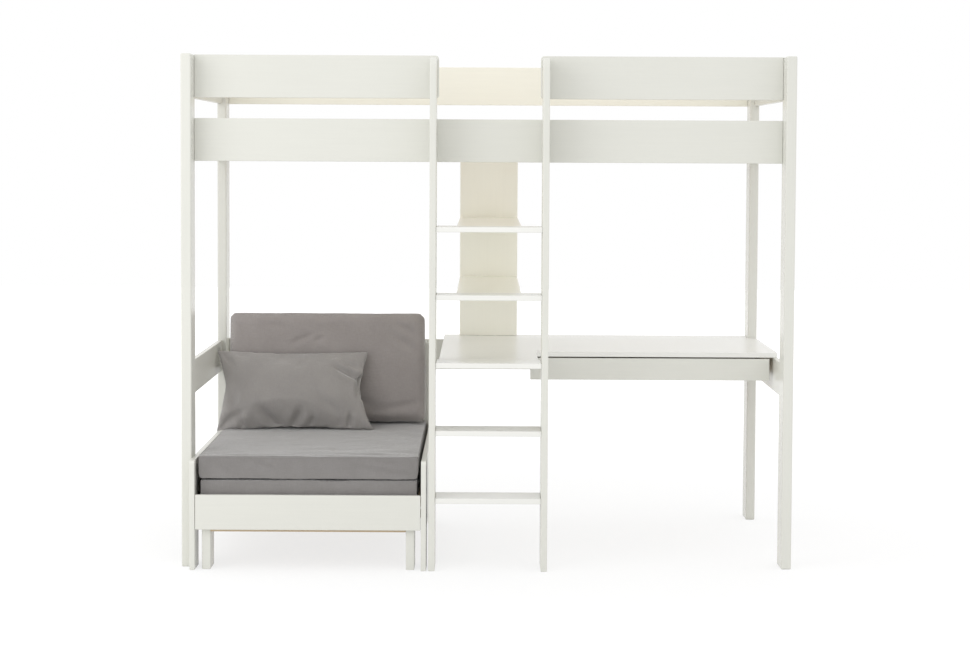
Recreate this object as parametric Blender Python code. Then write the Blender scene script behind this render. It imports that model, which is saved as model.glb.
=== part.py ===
"""A white loft bed with a ladder, a desk and drawer, a narrow bookshelf and a pull-out sofa bed under it.

Metres, +Z up. The camera side is -Y, and +X is to the right as seen from there. The origin is on the
floor, under the middle of the whole object. Every length is a named value, and what touches something
else takes its place from that thing's own values.
"""

import math

import bmesh
import bpy
from mathutils import Matrix, Vector

# Clearances
SEAT_GAP = 0.0003
RUN_GAP = 0.0015
UNION_OVERLAP = 0.004

# Edges
BOARD_ROUND = 0.002
POST_ROUND = 0.004
SLAT_ROUND = 0.0015
DECK_ROUND = 0.001
ROUND_STEPS = 2
ARC_STEPS = 5
SHARP_EDGE = math.radians(40)

# Frame
LENGTH = 2.105
FRAME_DEPTH = 1.057
HEIGHT = 1.767
POST_WIDTH = 0.035
POST_DEPTH = 0.100
BOARD = 0.018
GUARD_HEIGHT = 0.148
GUARD_GAP = 0.071
BED_RAIL_HEIGHT = 0.148
LOWER_RAIL_HEIGHT = 0.118
GUARD_CORNER = 0.012
ENTRY_WIDTH = 0.352

# Mattress support
CLEAT_DEPTH = 0.025
CLEAT_HEIGHT = 0.030
CLEAT_RISE = 0.040
BED_SLATS = 10
BED_SLAT_WIDTH = 0.085
BED_SLAT = 0.015
BED_SLAT_END_SPACE = 0.020
BED_SLAT_CLEARANCE = 0.002

# Ladder
LADDER_X = 0.004
LADDER_WIDTH = 0.407
LADDER_PROUD = 0.060
STILE = 0.022
STILE_DROP = 0.012
STILE_CORNER = 0.032
TREADS = 5
TOP_STEP_SPACE = 0.005
TREAD = 0.018
TREAD_SETBACK = 0.004
DESK_TREAD = 3

# Desk
DESK_FRONT = 0.368
DESK_SIDE_INSET = 0.002
DESK_TONGUE_PLAY = 0.009
DESK_CORNER = 0.010
DESK_INNER_CORNER = 0.020
DRAWER_RIGHT_SPACE = 0.0135
DRAWER_WIDTH = 0.865
DRAWER_FRONT_HEIGHT = 0.079
DRAWER_TOP_GAP = 0.0045
DRAWER_DEPTH = 0.450
DRAWER_WALL = 0.012
DRAWER_WALL_HEIGHT = 0.058
DRAWER_WALL_DROP = 0.006
DRAWER_BOTTOM = 0.006
DRAWER_BOTTOM_RISE = 0.006
DRAWER_SIDE_INSET = 0.030
RUNNER = 0.012
RUNNER_FOOT = 0.010

# Bookshelf
SHELF_WIDTH = 0.225

# Sofa bed
SOFA_LADDER_SPACE = 0.0077
SOFA_REAR_SPACE = 0.099
SOFA_ARM_TOP = 0.378
SOFA_ARM_ROUND = 0.012
SOFA_LEG_DEPTH = 0.100
SOFA_ARCH_TOP = 0.142
SOFA_ARCH_ROUND = 0.020
SOFA_BACK_CORNER = 0.014
SOFA_RAIL_BOTTOM = 0.140
SOFA_RAIL_HEIGHT = 0.120
PULL_LEG_WIDTH = 0.029
PULL_LEG_DEPTH = 0.097
PULL_LEG_INSET = 0.021
STRETCHER_BOTTOM = 0.131
STRETCHER_HEIGHT = 0.040
STRETCHER_DEPTH = 0.020
DECK_TOP = 0.225
DECK_SLAT = 0.018
DECK_BAR_HEIGHT = 0.027
DECK_BAR_DEPTH = 0.022
DECK_SLOT = 0.006
DECK_EDGE_SPACE = 0.003
DECK_FOOT_INSET = 0.005
DECK_FIXED_SLATS = 6
DECK_MOVING_SLATS = 5

# Soft pieces
CROWN_FLATNESS = 4
MATTRESS_THICKNESS = 0.084
MATTRESS_FRONT_SPACE = 0.025
MATTRESS_REAR_SPACE = 0.007
MATTRESS_LOWER_SIDE_SPACE = 0.015
MATTRESS_UPPER_SIDE_SPACE = 0.008
MATTRESS_ROUND = 0.018
MATTRESS_CROWN = 0.005
MATTRESS_COUNTS = (14, 16, 3)
CUSHION_SIDE_SPACE = 0.007
CUSHION_HEIGHT = 0.418
CUSHION_THICKNESS = 0.095
CUSHION_ROUND = 0.028
CUSHION_CROWN = 0.014
CUSHION_DRAW_IN = 0.012
CUSHION_LEAN = math.radians(6)
CUSHION_COUNTS = (16, 12, 3)
PILLOW_OVERHANG = 0.0058
PILLOW_WIDTH = 0.588
PILLOW_HEIGHT = 0.318
PILLOW_THICKNESS = 0.130
PILLOW_DRAW_IN_SHARE = 0.055
PILLOW_SWELL = 0.42
PILLOW_LEAN = math.radians(29)
PILLOW_COUNTS = (20, 14)

# Places worked out from the sizes above
RIGHT_X = LENGTH / 2
REAR_Y = (FRAME_DEPTH + LADDER_PROUD) / 2
LADDER_FRONT_Y = -REAR_Y
POST_FRONT_Y = REAR_Y - FRAME_DEPTH
POST_INNER_X = RIGHT_X - POST_WIDTH
FRONT_POST_BACK_Y = POST_FRONT_Y + POST_DEPTH
REAR_POST_FRONT_Y = REAR_Y - POST_DEPTH
FRONT_RAIL_Y = FRONT_POST_BACK_Y - BOARD
REAR_RAIL_Y = REAR_Y - BOARD
GUARD_BOTTOM = HEIGHT - GUARD_HEIGHT
BED_RAIL_TOP = GUARD_BOTTOM - GUARD_GAP
BED_RAIL_BOTTOM = BED_RAIL_TOP - BED_RAIL_HEIGHT
TREAD_RISE = (BED_RAIL_BOTTOM - TOP_STEP_SPACE) / (TREADS + 1)
DESK_BOTTOM = DESK_TREAD * TREAD_RISE
DESK_TOP = DESK_BOTTOM + TREAD
LOWER_RAIL_TOP = DESK_BOTTOM - SEAT_GAP
LOWER_RAIL_BOTTOM = LOWER_RAIL_TOP - LOWER_RAIL_HEIGHT
LADDER_BACK_Y = FRONT_RAIL_Y - SEAT_GAP
STILE_INNER = LADDER_WIDTH / 2 - STILE
SOFA_LEFT_X = -POST_INNER_X + SEAT_GAP
SOFA_RIGHT_X = LADDER_X - LADDER_WIDTH / 2 - SOFA_LADDER_SPACE
SOFA_INNER_LEFT_X = SOFA_LEFT_X + BOARD
SOFA_INNER_RIGHT_X = SOFA_RIGHT_X - BOARD
SOFA_CENTRE_X = (SOFA_LEFT_X + SOFA_RIGHT_X) / 2
SOFA_FRONT_Y = LADDER_FRONT_Y
SOFA_REAR_Y = REAR_RAIL_Y - SOFA_REAR_SPACE
SOFA_BACK_FRONT_Y = SOFA_REAR_Y - BOARD

COLOURS = {
    "white_paint": ((0.80, 0.80, 0.76), 0.42),
    "bare_wood": ((0.60, 0.45, 0.30), 0.60),
    "drawer_ply": ((0.72, 0.66, 0.55), 0.55),
    "seat_fabric": ((0.34, 0.32, 0.31), 0.95),
    "cushion_fabric": ((0.25, 0.23, 0.22), 0.95),
    "pillow_fabric": ((0.30, 0.29, 0.28), 0.95),
}


def clear_scene():
    for old in list(bpy.data.objects):
        bpy.data.objects.remove(old)


def make_materials():
    made = {}
    for name, (colour, roughness) in COLOURS.items():
        material = bpy.data.materials.new(name)
        material.use_nodes = True
        shader = material.node_tree.nodes["Principled BSDF"]
        shader.inputs["Base Color"].default_value = (*colour, 1)
        shader.inputs["Roughness"].default_value = roughness
        shader.inputs["Metallic"].default_value = 0
        made[name] = material
    return made


def add_object(name, shape, material):
    """An object from a bmesh, with its faces turned outwards."""
    bmesh.ops.recalc_face_normals(shape, faces=shape.faces)
    if shape.calc_volume(signed=True) < 0:
        bmesh.ops.reverse_faces(shape, faces=shape.faces)
    mesh = bpy.data.meshes.new(name)
    shape.to_mesh(mesh)
    shape.free()
    made = bpy.data.objects.new(name, mesh)
    mesh.materials.append(material)
    bpy.context.scene.collection.objects.link(made)
    return made


def round_edges(piece, width, steps=ROUND_STEPS):
    bevel = piece.modifiers.new("Rounded edges", "BEVEL")
    bevel.width = width
    bevel.segments = steps
    bevel.limit_method = "ANGLE"
    bevel.angle_limit = SHARP_EDGE
    piece.data.shade_smooth()
    return piece


def rounded_outline(corners):
    """Points of an outline given as (a, b, radius), with each corner that has a radius drawn as an arc."""
    points = []
    for index, (a, b, radius) in enumerate(corners):
        here = Vector((a, b))
        if not radius:
            points.append(here)
            continue
        before = (Vector(corners[index - 1][:2]) - here).normalized()
        after = (Vector(corners[(index + 1) % len(corners)][:2]) - here).normalized()
        centre = here + (before + after) * radius
        for step in range(ARC_STEPS + 1):
            turn = math.pi / 2 * step / ARC_STEPS
            points.append(centre - after * radius * math.cos(turn) - before * radius * math.sin(turn))
    return points


def extruded(name, corners, axis, low, high, material, edge=BOARD_ROUND):
    """A board from low to high on axis, cut to an outline of square corners that each have a radius."""
    axes = {"X": (1, 2, 0), "Y": (0, 2, 1), "Z": (0, 1, 2)}[axis]
    shape = bmesh.new()
    ring = []
    for point in rounded_outline(corners):
        place = [0, 0, 0]
        place[axes[0]], place[axes[1]], place[axes[2]] = point.x, point.y, low
        ring.append(shape.verts.new(place))
    face = shape.faces.new(ring)
    grown = bmesh.ops.extrude_face_region(shape, geom=[face])
    rise = Vector((0, 0, 0))
    rise[axes[2]] = high - low
    moved = [item for item in grown["geom"] if isinstance(item, bmesh.types.BMVert)]
    bmesh.ops.translate(shape, verts=moved, vec=rise)
    return round_edges(add_object(name, shape, material), edge)


def board(name, x, y, z, material, edge=BOARD_ROUND, steps=ROUND_STEPS):
    """A straight board between the low and high values of x, y and z."""
    shape = bmesh.new()
    size = Vector((x[1] - x[0], y[1] - y[0], z[1] - z[0]))
    bmesh.ops.create_cube(shape, size=1, matrix=Matrix.Diagonal((*size, 1)))
    made = add_object(name, shape, material)
    made.location = ((x[0] + x[1]) / 2, (y[0] + y[1]) / 2, (z[0] + z[1]) / 2)
    return round_edges(made, edge, steps)


def several_boards(name, boxes, material):
    """Boards that share one mesh and don't meet: each box is its low and high corner."""
    shape = bmesh.new()
    for low, high in boxes:
        low, high = Vector(low), Vector(high)
        stretch = Matrix.Diagonal((*(high - low), 1))
        bmesh.ops.create_cube(shape, size=1, matrix=Matrix.Translation((low + high) / 2) @ stretch)
    return add_object(name, shape, material)


def hide_helper(helper):
    helper.hide_render = True
    helper.display_type = "WIRE"


def mirrored_pair(low, high):
    """The range low to high on the right, and the same range on the left."""
    return {"right": (low, high), "left": (-high, -low)}


def build_posts(paint):
    sides = mirrored_pair(POST_INNER_X, RIGHT_X)
    depths = {"front": (POST_FRONT_Y, FRONT_POST_BACK_Y), "back": (REAR_POST_FRONT_Y, REAR_Y)}
    for place, y in depths.items():
        for side, x in sides.items():
            board(f"post_{place}_{side}", x, y, (0, HEIGHT), paint, POST_ROUND)


def build_rails(paint):
    between_posts = (-POST_INNER_X + SEAT_GAP, POST_INNER_X - SEAT_GAP)
    end_y = (FRONT_POST_BACK_Y + SEAT_GAP, REAR_POST_FRONT_Y - SEAT_GAP)
    front_y = (FRONT_RAIL_Y, FRONT_POST_BACK_Y)
    rear_y = (REAR_RAIL_Y, REAR_Y)
    bed_z = (BED_RAIL_BOTTOM, BED_RAIL_TOP)
    guard_z = (GUARD_BOTTOM, HEIGHT)
    lower_z = (LOWER_RAIL_BOTTOM, LOWER_RAIL_TOP)
    board("side_rail_front", between_posts, front_y, bed_z, paint)
    board("side_rail_back", between_posts, rear_y, bed_z, paint)
    board("guard_back", between_posts, rear_y, guard_z, paint)
    board("lower_rail_back", between_posts, rear_y, lower_z, paint)
    for side, x in mirrored_pair(RIGHT_X - BOARD, RIGHT_X).items():
        board(f"end_rail_{side}", x, end_y, bed_z, paint)
        board(f"guard_{side}", x, end_y, guard_z, paint)
        board(f"lower_rail_{side}", x, end_y, lower_z, paint)
    for side, sign in (("left", -1), ("right", 1)):
        inner = LADDER_X + sign * ENTRY_WIDTH / 2
        outer = sign * (POST_INNER_X - SEAT_GAP)
        corners = [
            (outer, GUARD_BOTTOM, 0),
            (inner, GUARD_BOTTOM, GUARD_CORNER),
            (inner, HEIGHT, GUARD_CORNER),
            (outer, HEIGHT, 0),
        ]
        extruded(f"guard_front_{side}", corners, "Y", *front_y, paint)


def build_bed_base(wood):
    cleat_z = (BED_RAIL_BOTTOM + CLEAT_RISE, BED_RAIL_BOTTOM + CLEAT_RISE + CLEAT_HEIGHT)
    cleat_x = (-POST_INNER_X + POST_WIDTH, POST_INNER_X - POST_WIDTH)
    front_cleat = (FRONT_POST_BACK_Y + SEAT_GAP, FRONT_POST_BACK_Y + SEAT_GAP + CLEAT_DEPTH)
    rear_cleat = (REAR_RAIL_Y - SEAT_GAP - CLEAT_DEPTH, REAR_RAIL_Y - SEAT_GAP)
    board("slat_cleat_front", cleat_x, front_cleat, cleat_z, wood, SLAT_ROUND, 1)
    board("slat_cleat_back", cleat_x, rear_cleat, cleat_z, wood, SLAT_ROUND, 1)
    slat_y = (FRONT_POST_BACK_Y + BED_SLAT_CLEARANCE, REAR_RAIL_Y - BED_SLAT_CLEARANCE)
    slat_z = (cleat_z[1] + SEAT_GAP, cleat_z[1] + SEAT_GAP + BED_SLAT)
    first_x = cleat_x[0] + BED_SLAT_END_SPACE
    pitch = (cleat_x[1] - BED_SLAT_END_SPACE - BED_SLAT_WIDTH - first_x) / (BED_SLATS - 1)
    for index in range(BED_SLATS):
        left = first_x + index * pitch
        x = (left, left + BED_SLAT_WIDTH)
        board(f"bed_slat_{index + 1:02d}", x, slat_y, slat_z, wood, SLAT_ROUND, 1)


def build_ladder(paint):
    top = HEIGHT - STILE_DROP
    corners = [
        (LADDER_FRONT_Y, 0, 0),
        (LADDER_BACK_Y, 0, 0),
        (LADDER_BACK_Y, top, 0),
        (LADDER_FRONT_Y, top, STILE_CORNER),
    ]
    for side, sign in (("left", -1), ("right", 1)):
        edges = sorted((LADDER_X + sign * STILE_INNER, LADDER_X + sign * LADDER_WIDTH / 2))
        extruded(f"ladder_stile_{side}", corners, "X", *edges, paint)
    x = (LADDER_X - STILE_INNER + SEAT_GAP, LADDER_X + STILE_INNER - SEAT_GAP)
    y = (LADDER_FRONT_Y + TREAD_SETBACK, LADDER_BACK_Y)
    for index in range(1, TREADS + 1):
        board(f"tread_{index}", x, y, (index * TREAD_RISE, index * TREAD_RISE + TREAD), paint)


def build_desk(paint):
    right = RIGHT_X - DESK_SIDE_INSET
    tongue = STILE_INNER - DESK_TONGUE_PLAY
    notch_x = POST_INNER_X - SEAT_GAP
    notch_y = REAR_POST_FRONT_Y - SEAT_GAP
    front = POST_FRONT_Y + DESK_FRONT
    tongue_front = LADDER_BACK_Y + SEAT_GAP
    corners = [
        (LADDER_X - tongue, tongue_front, 0),
        (LADDER_X + tongue, tongue_front, 0),
        (LADDER_X + tongue, front, DESK_INNER_CORNER),
        (right, front, DESK_CORNER),
        (right, notch_y, 0),
        (notch_x, notch_y, 0),
        (notch_x, REAR_Y, 0),
        (LADDER_X - tongue, REAR_Y, 0),
    ]
    extruded("desktop", corners, "Z", DESK_BOTTOM, DESK_TOP, paint)


def build_bookshelf(paint):
    x = (LADDER_X - SHELF_WIDTH / 2, LADDER_X + SHELF_WIDTH / 2)
    panel_y = (REAR_RAIL_Y - SEAT_GAP - BOARD, REAR_RAIL_Y - SEAT_GAP)
    panel_z = (DESK_TOP + SEAT_GAP, BED_RAIL_BOTTOM + CLEAT_RISE - SEAT_GAP)
    board("shelf_back_panel", x, panel_y, panel_z, paint)
    shelf_y = (LADDER_BACK_Y + SEAT_GAP, panel_y[0] - SEAT_GAP)
    for name, tread in (("shelf_lower", DESK_TREAD + 1), ("shelf_upper", DESK_TREAD + 2)):
        board(name, x, shelf_y, (tread * TREAD_RISE, tread * TREAD_RISE + TREAD), paint)


def build_drawer(paint, ply):
    right = RIGHT_X - BOARD - DRAWER_RIGHT_SPACE
    front_x = (right - DRAWER_WIDTH, right)
    front_top = DESK_BOTTOM - DRAWER_TOP_GAP
    front_z = (front_top - DRAWER_FRONT_HEIGHT, front_top)
    face_y = POST_FRONT_Y + DESK_FRONT
    board("drawer_front", front_x, (face_y, face_y + BOARD), front_z, paint)
    box_x = (front_x[0] + DRAWER_SIDE_INSET, front_x[1] - DRAWER_SIDE_INSET)
    box_y = (face_y + BOARD + SEAT_GAP, face_y + BOARD + SEAT_GAP + DRAWER_DEPTH)
    box_top = front_top - DRAWER_WALL_DROP
    box_z = (box_top - DRAWER_WALL_HEIGHT, box_top)
    inner_x = (box_x[0] + DRAWER_WALL + SEAT_GAP, box_x[1] - DRAWER_WALL - SEAT_GAP)
    bottom_z = (box_z[0] + DRAWER_BOTTOM_RISE, box_z[0] + DRAWER_BOTTOM_RISE + DRAWER_BOTTOM)
    back_y = (box_y[1] - DRAWER_WALL, box_y[1])
    board("drawer_side_left", (box_x[0], box_x[0] + DRAWER_WALL), box_y, box_z, ply, SLAT_ROUND, 1)
    board("drawer_side_right", (box_x[1] - DRAWER_WALL, box_x[1]), box_y, box_z, ply, SLAT_ROUND, 1)
    board("drawer_back", inner_x, back_y, (bottom_z[1] + SEAT_GAP, box_z[1]), ply, SLAT_ROUND, 1)
    board("drawer_bottom", inner_x, box_y, bottom_z, ply, SLAT_ROUND, 1)
    build_runners(box_x, box_y, box_z, ply)


def build_runners(box_x, box_y, box_z, ply):
    """Two L-shaped runners under the desktop: a wall beside the drawer and a foot under its side."""
    top = DESK_BOTTOM - SEAT_GAP
    foot_top = box_z[0] - SEAT_GAP
    for side, sign, edge in (("left", -1, box_x[0]), ("right", 1, box_x[1])):
        wall_in = edge + sign * RUN_GAP
        wall_out = wall_in + sign * RUNNER
        foot_in = edge - sign * (DRAWER_WALL - RUN_GAP)
        corners = [
            (wall_out, top, 0),
            (wall_out, foot_top - RUNNER_FOOT, 0),
            (foot_in, foot_top - RUNNER_FOOT, 0),
            (foot_in, foot_top, 0),
            (wall_in, foot_top, 0),
            (wall_in, top, 0),
        ]
        extruded(f"drawer_runner_{side}", corners, "Y", *box_y, ply, SLAT_ROUND)


def build_sofa_frame(paint):
    rear_leg = SOFA_REAR_Y - SOFA_LEG_DEPTH
    front_leg = SOFA_FRONT_Y + SOFA_LEG_DEPTH
    corners = [
        (SOFA_FRONT_Y, 0, 0),
        (front_leg, 0, 0),
        (front_leg, SOFA_ARCH_TOP, SOFA_ARCH_ROUND),
        (rear_leg, SOFA_ARCH_TOP, SOFA_ARCH_ROUND),
        (rear_leg, 0, 0),
        (SOFA_REAR_Y, 0, 0),
        (SOFA_REAR_Y, SOFA_ARM_TOP, SOFA_ARM_ROUND),
        (SOFA_FRONT_Y, SOFA_ARM_TOP, SOFA_ARM_ROUND),
    ]
    extruded("sofa_side_left", corners, "X", SOFA_LEFT_X, SOFA_INNER_LEFT_X, paint)
    extruded("sofa_side_right", corners, "X", SOFA_INNER_RIGHT_X, SOFA_RIGHT_X, paint)
    left, right = SOFA_INNER_LEFT_X + SEAT_GAP, SOFA_INNER_RIGHT_X - SEAT_GAP
    back = [
        (left, SOFA_ARCH_TOP, 0),
        (right, SOFA_ARCH_TOP, 0),
        (right, LOWER_RAIL_TOP, SOFA_BACK_CORNER),
        (left, LOWER_RAIL_TOP, SOFA_BACK_CORNER),
    ]
    extruded("sofa_back_board", back, "Y", SOFA_BACK_FRONT_Y, SOFA_REAR_Y, paint)


def comb_places():
    """The low x of each slat of the two interleaved decks, and a slat's width."""
    count = DECK_FIXED_SLATS + DECK_MOVING_SLATS
    inner = SOFA_INNER_RIGHT_X - SOFA_INNER_LEFT_X
    width = (inner - 2 * DECK_EDGE_SPACE - (count - 1) * DECK_SLOT) / count
    first = SOFA_INNER_LEFT_X + DECK_EDGE_SPACE
    places = [first + index * (width + DECK_SLOT) for index in range(count)]
    return places[0::2], places[1::2], width


def join_comb(name, slats, bars):
    """The slats and the bars under them, glued into one deck."""
    for half in (slats, bars):
        round_edges(half, DECK_ROUND, 1)
    union = slats.modifiers.new("Glued to the bars", "BOOLEAN")
    union.operation = "UNION"
    union.object = bars
    hide_helper(bars)
    slats.name = name
    return slats


def footed_slats(name, x, y, z_low, foot_y, foot_low, wood):
    """Slats of one deck, each with feet of its own width that reach down into the bars under it."""
    shape = bmesh.new()
    for left, right in x:
        outline = [(y[0], DECK_TOP), (y[0], z_low)]
        for start, end in foot_y:
            outline += [(start, z_low), (start, foot_low), (end, foot_low), (end, z_low)]
        outline += [(y[1], z_low), (y[1], DECK_TOP)]
        ring = [shape.verts.new((left, a, b)) for a, b in outline]
        grown = bmesh.ops.extrude_face_region(shape, geom=[shape.faces.new(ring)])
        moved = [item for item in grown["geom"] if isinstance(item, bmesh.types.BMVert)]
        bmesh.ops.translate(shape, verts=moved, vec=(right - left, 0, 0))
    return add_object(name, shape, wood)


def build_decks(wood):
    """Two comb-like decks: the slats of the pull-out one lie between those of the fixed one."""
    fixed, moving, width = comb_places()
    slat_low = DECK_TOP - DECK_SLAT
    bar_top = slat_low - RUN_GAP
    bar_low = bar_top - DECK_BAR_HEIGHT
    foot_low = bar_top - UNION_OVERLAP
    cleat = (SOFA_FRONT_Y + BOARD + SEAT_GAP, SOFA_FRONT_Y + BOARD + SEAT_GAP + DECK_BAR_DEPTH)
    fixed_front = (cleat[1] + RUN_GAP, cleat[1] + RUN_GAP + DECK_BAR_DEPTH)
    rear = SOFA_BACK_FRONT_Y - SEAT_GAP
    fixed_rear = (rear - DECK_BAR_DEPTH, rear)
    moving_rear = (fixed_rear[0] - RUN_GAP - DECK_BAR_DEPTH, fixed_rear[0] - RUN_GAP)

    def feet(bars):
        return [(low + DECK_FOOT_INSET, high - DECK_FOOT_INSET) for low, high in bars]

    combs = (
        ("sofa_slat_deck", fixed, (fixed_front[0], rear), (fixed_front, fixed_rear), SEAT_GAP),
        ("pull_out_slat_deck", moving, (cleat[0], moving_rear[1]), (cleat, moving_rear), RUN_GAP),
    )
    for name, places, reach, bars, side_gap in combs:
        x = [(left, left + width) for left in places]
        slats = footed_slats(name, x, reach, slat_low, feet(bars), foot_low, wood)
        left, right = SOFA_INNER_LEFT_X + side_gap, SOFA_INNER_RIGHT_X - side_gap
        boxes = [((left, low, bar_low), (right, high, bar_top)) for low, high in bars]
        join_comb(name, slats, several_boards(name + "_bars", boxes, wood))


def build_pull_out(paint, wood):
    rail_x = (SOFA_INNER_LEFT_X + RUN_GAP, SOFA_INNER_RIGHT_X - RUN_GAP)
    rail_z = (SOFA_RAIL_BOTTOM, SOFA_RAIL_BOTTOM + SOFA_RAIL_HEIGHT)
    board("pull_out_front_rail", rail_x, (SOFA_FRONT_Y, SOFA_FRONT_Y + BOARD), rail_z, paint)
    behind = SOFA_FRONT_Y + BOARD + SEAT_GAP
    leg_top = DECK_TOP - DECK_SLAT - RUN_GAP - DECK_BAR_HEIGHT - RUN_GAP
    left = (rail_x[0] + PULL_LEG_INSET, rail_x[0] + PULL_LEG_INSET + PULL_LEG_WIDTH)
    right = (rail_x[1] - PULL_LEG_INSET - PULL_LEG_WIDTH, rail_x[1] - PULL_LEG_INSET)
    leg_y = (behind, behind + PULL_LEG_DEPTH)
    board("pull_out_leg_left", left, leg_y, (0, leg_top), paint)
    board("pull_out_leg_right", right, leg_y, (0, leg_top), paint)
    stretcher_x = (left[1] + SEAT_GAP, right[0] - SEAT_GAP)
    stretcher_y = (behind, behind + STRETCHER_DEPTH)
    stretcher_z = (STRETCHER_BOTTOM, STRETCHER_BOTTOM + STRETCHER_HEIGHT)
    board("pull_out_stretcher", stretcher_x, stretcher_y, stretcher_z, wood, SLAT_ROUND)


def surface_grid(counts):
    """A bmesh box from -1 to 1 on each axis, with that many cells along X, Y and Z."""
    shape = bmesh.new()
    nx, ny, nz = counts
    made = {}

    def corner(i, j, k):
        if (i, j, k) not in made:
            made[i, j, k] = shape.verts.new((2 * i / nx - 1, 2 * j / ny - 1, 2 * k / nz - 1))
        return made[i, j, k]

    def sheet(count_a, count_b, place):
        for a in range(count_a):
            for b in range(count_b):
                shape.faces.new([place(a, b), place(a + 1, b), place(a + 1, b + 1), place(a, b + 1)])

    for k in (0, nz):
        sheet(nx, ny, lambda a, b, k=k: corner(a, b, k))
    for j in (0, ny):
        sheet(nx, nz, lambda a, b, j=j: corner(a, j, b))
    for i in (0, nx):
        sheet(ny, nz, lambda a, b, i=i: corner(i, a, b))
    return shape


def padded_box(name, size, radius, crown, draw_in, counts, material):
    """A stuffed box: rounded edges, a crown on its two large faces, and sides drawn in midway."""
    shape = surface_grid(counts)
    half = Vector(size) / 2
    core = half - Vector((radius, radius, radius))
    for vert in shape.verts:
        u, v, w = vert.co
        # Cells crowd towards the edges, so that the rounding gets its share of them.
        place = Vector((half.x * math.sin(u * math.pi / 2), half.y * math.sin(v * math.pi / 2), half.z * w))
        inner = Vector(min(max(place[i], -core[i]), core[i]) for i in range(3))
        away = place - inner
        if away.length > 0:
            place = inner + away.normalized() * radius
        swell = (1 - u**CROWN_FLATNESS) * (1 - v**CROWN_FLATNESS)
        place.z += crown * swell * w
        place.x -= draw_in * u * (1 - v * v) * abs(u)
        place.y -= draw_in * v * (1 - u * u) * abs(v)
        vert.co = place
    made = add_object(name, shape, material)
    made.data.shade_smooth()
    return made


def pillow_form(name, size, draw_in_share, counts, material):
    """A knife-edged pillow in the XY plane: two crowned faces that meet in a seam, with drawn-in sides."""
    shape = bmesh.new()
    width, height, thickness = size
    nx, ny = counts
    sheets = {}
    for i in range(nx + 1):
        for j in range(ny + 1):
            u, v = math.sin(math.pi / 2 * (2 * i / nx - 1)), math.sin(math.pi / 2 * (2 * j / ny - 1))
            x = width / 2 * u * (1 - draw_in_share * (1 - v * v))
            y = height / 2 * v * (1 - draw_in_share * (1 - u * u))
            swell = max(0, (1 - u * u) * (1 - v * v)) ** PILLOW_SWELL
            edge = i in (0, nx) or j in (0, ny)
            for side in (1, -1):
                if side < 0 and edge:
                    sheets[i, j, side] = sheets[i, j, 1]
                else:
                    z = 0 if edge else side * thickness / 2 * swell
                    sheets[i, j, side] = shape.verts.new((x, y, z))
    for i in range(nx):
        for j in range(ny):
            around = ((i, j), (i + 1, j), (i + 1, j + 1), (i, j + 1))
            for side in (1, -1):
                shape.faces.new([sheets[a, b, side] for a, b in around])
    made = add_object(name, shape, material)
    made.data.shade_smooth()
    return made


def turn_mesh(piece, lean):
    """Stands a flat piece up and leans its top back by that angle, about the origin."""
    piece.data.transform(Matrix.Rotation(math.pi / 2 - lean, 4, "X"))


def rest_on(piece, height):
    """Lowers or lifts a piece until its lowest point is just above that height."""
    lowest = min(vert.co.z for vert in piece.data.vertices)
    piece.location.z = height + SEAT_GAP - lowest


def depth_behind(y, z, lean):
    """How far back a point lies, square to a plane that leans back by that angle."""
    return y * math.cos(lean) - z * math.sin(lean)


def depths_of(piece, lean):
    """The depths of a piece's points behind such a plane, with the piece still at y 0."""
    lift = piece.location.z
    return [depth_behind(vert.co.y, vert.co.z + lift, lean) for vert in piece.data.vertices]


def lean_on(piece, depth, lean):
    """Moves a piece back until its rearmost point is just short of that depth."""
    piece.location.y = (depth - SEAT_GAP - max(depths_of(piece, lean))) / math.cos(lean)


def build_soft_pieces(materials):
    front = SOFA_FRONT_Y + MATTRESS_FRONT_SPACE
    rear = SOFA_BACK_FRONT_Y - MATTRESS_REAR_SPACE
    inner_width = SOFA_INNER_RIGHT_X - SOFA_INNER_LEFT_X
    cover = materials["seat_fabric"]
    side_spaces = {"mattress_lower": MATTRESS_LOWER_SIDE_SPACE, "mattress_upper": MATTRESS_UPPER_SIDE_SPACE}
    level = DECK_TOP
    for name, side_space in side_spaces.items():
        size = (inner_width - 2 * side_space, rear - front, MATTRESS_THICKNESS - 2 * MATTRESS_CROWN)
        pad = padded_box(name, size, MATTRESS_ROUND, MATTRESS_CROWN, 0, MATTRESS_COUNTS, cover)
        pad.location = (SOFA_CENTRE_X, (front + rear) / 2, 0)
        rest_on(pad, level)
        level += MATTRESS_THICKNESS + SEAT_GAP
    size = (inner_width - 2 * CUSHION_SIDE_SPACE, CUSHION_HEIGHT, CUSHION_THICKNESS)
    cover = materials["cushion_fabric"]
    cushion = padded_box(
        "back_cushion", size, CUSHION_ROUND, CUSHION_CROWN, CUSHION_DRAW_IN, CUSHION_COUNTS, cover
    )
    turn_mesh(cushion, CUSHION_LEAN)
    rest_on(cushion, level)
    cushion.location.x = SOFA_CENTRE_X
    # The cushion leans on the board's top edge, and can be drawn up along its own slope.
    lean_on(cushion, depth_behind(SOFA_BACK_FRONT_Y, LOWER_RAIL_TOP, CUSHION_LEAN), CUSHION_LEAN)
    cushion_front = min(depths_of(cushion, CUSHION_LEAN)) + cushion.location.y * math.cos(CUSHION_LEAN)
    size = (PILLOW_WIDTH, PILLOW_HEIGHT, PILLOW_THICKNESS)
    cover = materials["pillow_fabric"]
    pillow = pillow_form("pillow", size, PILLOW_DRAW_IN_SHARE, PILLOW_COUNTS, cover)
    turn_mesh(pillow, PILLOW_LEAN)
    rest_on(pillow, level)
    pillow.location.x = SOFA_LEFT_X - PILLOW_OVERHANG + PILLOW_WIDTH / 2
    lean_on(pillow, cushion_front, CUSHION_LEAN)


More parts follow.
